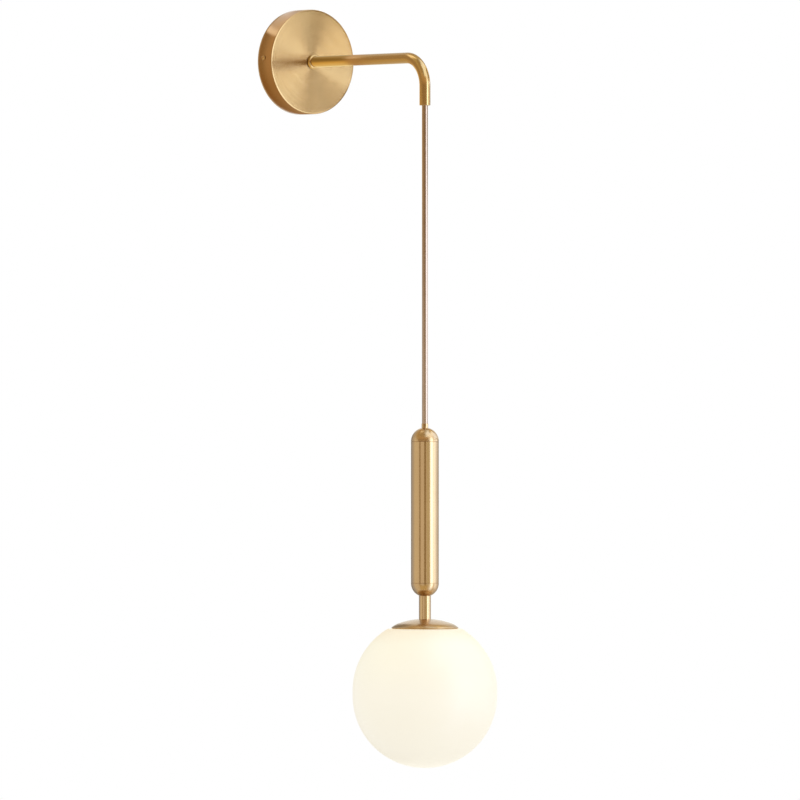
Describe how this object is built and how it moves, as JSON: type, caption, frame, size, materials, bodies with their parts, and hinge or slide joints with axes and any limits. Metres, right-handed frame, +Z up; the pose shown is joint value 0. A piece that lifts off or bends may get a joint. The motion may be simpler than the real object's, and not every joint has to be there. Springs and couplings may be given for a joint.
{
  "type": "wall lamp",
  "caption": "Brass wall lamp: round canopy, bent arm, cord-hung tubular pendant with domed ends and a screw-on opal glass globe",
  "frame": {"origin": "middle of the bracket's back face, on the wall, behind the middle of the round canopy", "axes": "+Z up, +Y into the wall, the arm reaches out along -Y"},
  "size_m": [0.15, 0.288, 0.7924],
  "materials": {
    "turned_brass": "fine concentric turning marks, clear lacquer",
    "satin_brass": "satin, lightly brushed round, clear lacquer",
    "terminal_brass": "bare drawn brass",
    "zinc_steel": "zinc plated",
    "bare_aluminium": "turned",
    "nickel_cap": "nickel plated",
    "white_nylon": "moulded nylon",
    "holder_resin": "moulded resin",
    "holder_ceramic": "unglazed",
    "bulb_plastic": "opal, lit",
    "black_glass": "fused glass",
    "cord_sheath": "clear sheath over a copper-coloured screen",
    "brown_insulation": "wire insulation",
    "blue_insulation": "wire insulation",
    "earth_insulation": "green and yellow wire insulation",
    "silicone": "translucent silicone",
    "opal_glass": "blown opal glass, glossy, lit from inside"
  },
  "bodies": {
    "wall_arm": {"wall_bracket": "zinc_steel", "canopy": "turned_brass", "canopy_screws": "satin_brass", "arm_tube": "satin_brass", "arm_collar": "satin_brass", "arm_washer": "zinc_steel", "arm_nut": "zinc_steel", "cord_lock": "white_nylon", "cord_lock_screws": "zinc_steel", "terminal_block": "white_nylon", "terminal_sleeves": "terminal_brass", "terminal_screws": "zinc_steel", "block_screw": "zinc_steel", "earth_screw": "terminal_brass", "earth_lug": "terminal_brass", "live_core": "brown_insulation", "neutral_core": "blue_insulation", "earth_core": "earth_insulation", "arm_cord": "cord_sheath", "arm_bush": "white_nylon"},
    "cord_top": {"cord_root": "cord_sheath"},
    "pendant": {"cord_drop": "cord_sheath", "cord_ferrule": "satin_brass", "pendant_top_cap": "satin_brass", "pendant_tube": "satin_brass", "pendant_bottom_cap": "satin_brass", "draw_rod": "zinc_steel", "pendant_cord": "cord_sheath", "stem_sleeve": "satin_brass", "globe_cap": "satin_brass", "cap_nut": "zinc_steel", "gallery": "zinc_steel", "holder_cover": "holder_resin", "holder_skirt": "holder_resin", "holder_insert": "holder_ceramic", "holder_shell": "terminal_brass", "holder_contact": "terminal_brass", "holder_screws": "terminal_brass", "holder_leads": "brown_insulation", "bulb_tip": "terminal_brass", "bulb_insulator": "black_glass", "bulb_cap": "nickel_cap", "bulb_collar": "bulb_plastic", "bulb_dome": "bulb_plastic"},
    "globe_seal": {"globe_gasket": "silicone"},
    "globe_shade": {"globe": "opal_glass", "globe_collar": "bare_aluminium"}
  },
  "joints": [
    {"name": "swing_out", "type": "hinge", "parent": "wall_arm", "child": "cord_top", "pos_m": [0, -0.213, -0.05], "axis": [-1, 0, 0], "range_deg": [-12, 25], "deforming": ["cord_root"]},
    {"name": "swing_side", "type": "hinge", "parent": "cord_top", "child": "pendant", "pos_m": [0, -0.213, -0.09], "axis": [0, 1, 0], "range_deg": [-25, 25]},
    {"name": "globe_lower", "type": "slide", "parent": "pendant", "child": "globe_seal", "axis": [0, 0, -1], "range_m": [0, 0.009]},
    {"name": "globe_turn", "type": "hinge", "parent": "globe_seal", "child": "globe_shade", "pos_m": [0, -0.213, -0.6], "axis": [0, 0, -1], "range_deg": [0, 1080]}
  ],
  "couplings": [
    {"joint": "globe_lower", "follows": "globe_turn", "m_per_rad": 0.00047746}
  ]
}
